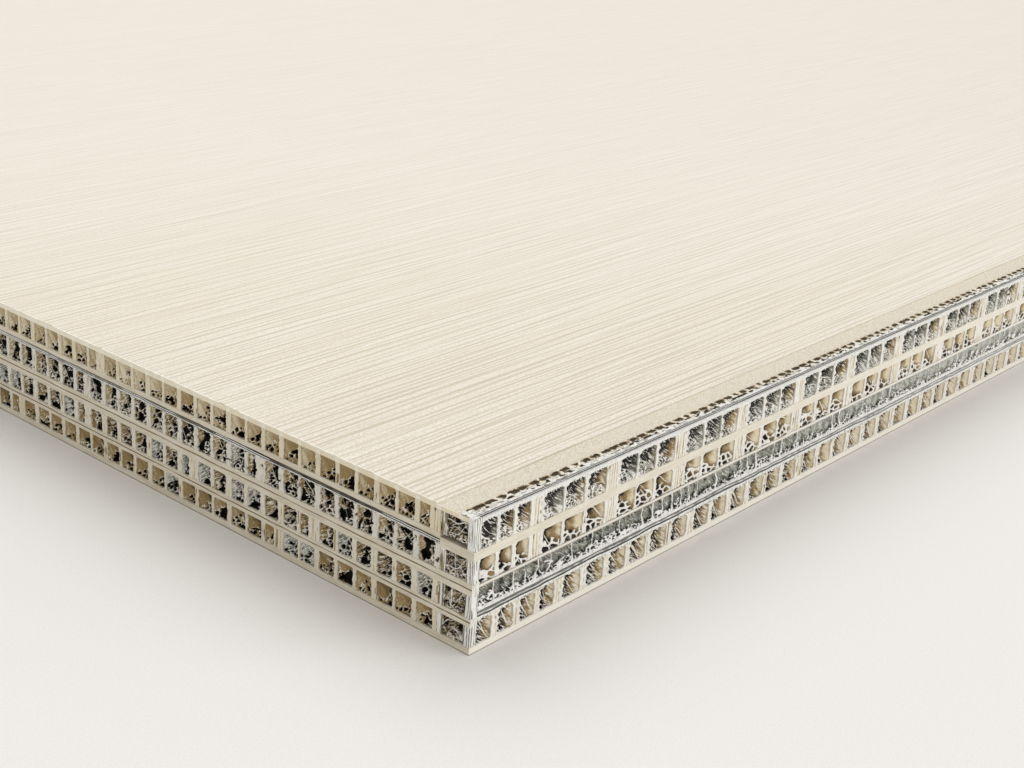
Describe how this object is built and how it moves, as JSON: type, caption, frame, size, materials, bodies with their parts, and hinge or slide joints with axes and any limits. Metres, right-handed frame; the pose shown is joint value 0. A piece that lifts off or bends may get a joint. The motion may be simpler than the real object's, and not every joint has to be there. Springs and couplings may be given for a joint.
{
  "type": "sandwich wall panel",
  "caption": "Layered wall panel with a brushed facing over tiers of paper honeycomb, boards, wool and metal foils; its sawn edges show the open cells.",
  "frame": {"origin": "centre of the underside, which rests", "axes": "+X along the front edge, where the facing is trimmed back; +Y along the left edge, away from that edge; +Z from the underside to the facing"},
  "size_m": [1.17, 0.8, 0.042],
  "materials": {
    "facing": "fine brushed grain",
    "sandy_board": "fine sandy speckle",
    "cream_board": "matt, sawn edge",
    "honeycomb": "matt paper, torn cells",
    "edge_honeycomb": "matt paper, torn cells",
    "white_paper": "fibrous, matt",
    "webs": "thin torn paper",
    "wool": "grey felted fibres",
    "foil": "dull metal foil",
    "fluted_paper": "brown fluted paper"
  },
  "bodies": {
    "root": {"facing_sheet": "facing", "backing_board": "sandy_board", "liner_1": "cream_board", "liner_2_lower": "cream_board", "liner_2_upper": "cream_board", "liner_3_lower": "cream_board", "liner_3_upper": "cream_board", "bottom_sheet": "cream_board", "edge_band": "cream_board", "core_1": "honeycomb", "core_2": "honeycomb", "core_3": "honeycomb", "core_4": "honeycomb", "edge_core_1": "edge_honeycomb", "edge_core_2": "edge_honeycomb", "edge_core_4": "edge_honeycomb", "paper_1_low": "white_paper", "paper_1_mid": "white_paper", "edge_paper_low": "white_paper", "edge_paper_mid": "white_paper", "edge_paper_top": "white_paper", "edge_paper_3_low": "white_paper", "edge_paper_3_mid": "white_paper", "edge_paper_3_high": "white_paper", "edge_liner": "white_paper", "corner_post_1": "white_paper", "corner_post_2": "white_paper", "corner_post_3": "white_paper", "corner_post_4": "white_paper", "edge_web": "webs", "edge_wool": "wool", "foil_1_lower": "foil", "foil_1_upper": "foil", "edge_foil_1_lower": "foil", "edge_foil_1_upper": "foil", "edge_foil_2_lower": "foil", "edge_foil_2_upper": "foil", "edge_flute": "fluted_paper"}
  },
  "joints": []
}
